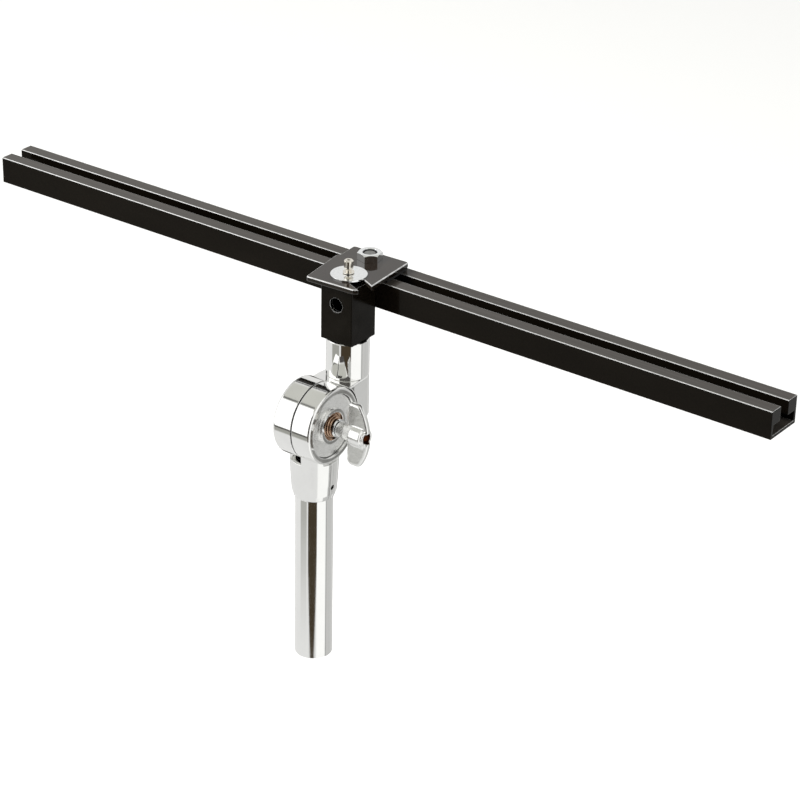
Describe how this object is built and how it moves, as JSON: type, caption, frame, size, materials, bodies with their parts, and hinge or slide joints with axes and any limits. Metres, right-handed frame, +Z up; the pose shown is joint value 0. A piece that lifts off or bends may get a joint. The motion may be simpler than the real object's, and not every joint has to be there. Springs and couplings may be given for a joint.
{
  "type": "cymbal boom stand tilter with percussion rail",
  "caption": "Chromed stand tube with a wing-nut tilter, a swivelling black bracket and a long T-slot rail clamped on top for percussion clamps.",
  "frame": {"origin": "centre of the lower tube's open end, on its axis", "axes": "+Z up the tube, +X along the tilter's pivot and the rail, +Y from the tube towards the rail"},
  "size_m": [0.5536, 0.0908, 0.2452],
  "materials": {
    "chrome_tube": "polished chrome plate on steel tube",
    "chrome_cast": "chrome plate on a die casting, slightly soft",
    "zinc_plate": "bright zinc plate",
    "nickel_rod": "warm bright nickel plate",
    "bronze_spring": "bronze-coloured spring wire",
    "friction_fibre": "pressed fibre",
    "white_nylon": "plain nylon bush",
    "black_satin": "satin black coating",
    "black_gloss": "gloss brown-black coating",
    "black_rubber": "matt rubber sheet",
    "dark_bolt": "blackened steel",
    "black_rail": "black anodised extrusion"
  },
  "bodies": {
    "base": {"lower_tube": "chrome_tube", "base_casting": "chrome_cast", "socket_pin": "black_satin", "friction_disc_front": "friction_fibre", "pivot_sleeve": "white_nylon", "spring_seat": "bronze_spring", "clamp_spring": "bronze_spring"},
    "arm": {"arm_casting": "chrome_cast", "friction_disc_rear": "friction_fibre", "pivot_bolt": "zinc_plate", "post_tube": "chrome_tube", "post_pin": "zinc_plate", "post_plug": "zinc_plate", "rod_jam_nut": "zinc_plate", "retaining_rod": "nickel_rod"},
    "clamp_washer": {"thrust_washer": "zinc_plate"},
    "wing_nut": {"wing_nut": "chrome_cast"},
    "bracket": {"square_tube": "black_satin", "clamp_plate": "black_gloss", "rail_pad": "black_rubber", "rail_bolt": "dark_bolt", "rod_washer": "zinc_plate"},
    "rail": {"rail_channel": "black_rail"},
    "rail_nut": {"rail_nut": "zinc_plate"}
  },
  "joints": [
    {"name": "tilt", "type": "hinge", "parent": "base", "child": "arm", "pos_m": [0, 0, 0.155], "axis": [1, 0, 0], "range_deg": [-28, 90]},
    {"name": "bracket_swivel", "type": "hinge", "parent": "arm", "child": "bracket", "pos_m": [0.0005, 0.0299, 0.2], "axis": [0, 0, 1], "continuous": true},
    {"name": "rail_slide", "type": "slide", "parent": "bracket", "child": "rail", "axis": [1, 0, 0], "range_m": [-0.24, 0.24]},
    {"name": "rail_nut_turn", "type": "hinge", "parent": "bracket", "child": "rail_nut", "pos_m": [-0.003, 0.0545, 0.2385], "axis": [0, 0, 1], "range_deg": [0, 90]},
    {"name": "wing_nut_travel", "type": "slide", "parent": "arm", "child": "clamp_washer", "axis": [1, 0, 0], "range_m": [0, 0.00201]},
    {"name": "wing_nut_turn", "type": "hinge", "parent": "clamp_washer", "child": "wing_nut", "pos_m": [0.03, 0, 0.155], "axis": [1, 0, 0], "range_deg": [0, 720]}
  ],
  "couplings": [
    {"joint": "wing_nut_travel", "follows": "wing_nut_turn", "m_per_rad": 0.00015915}
  ]
}
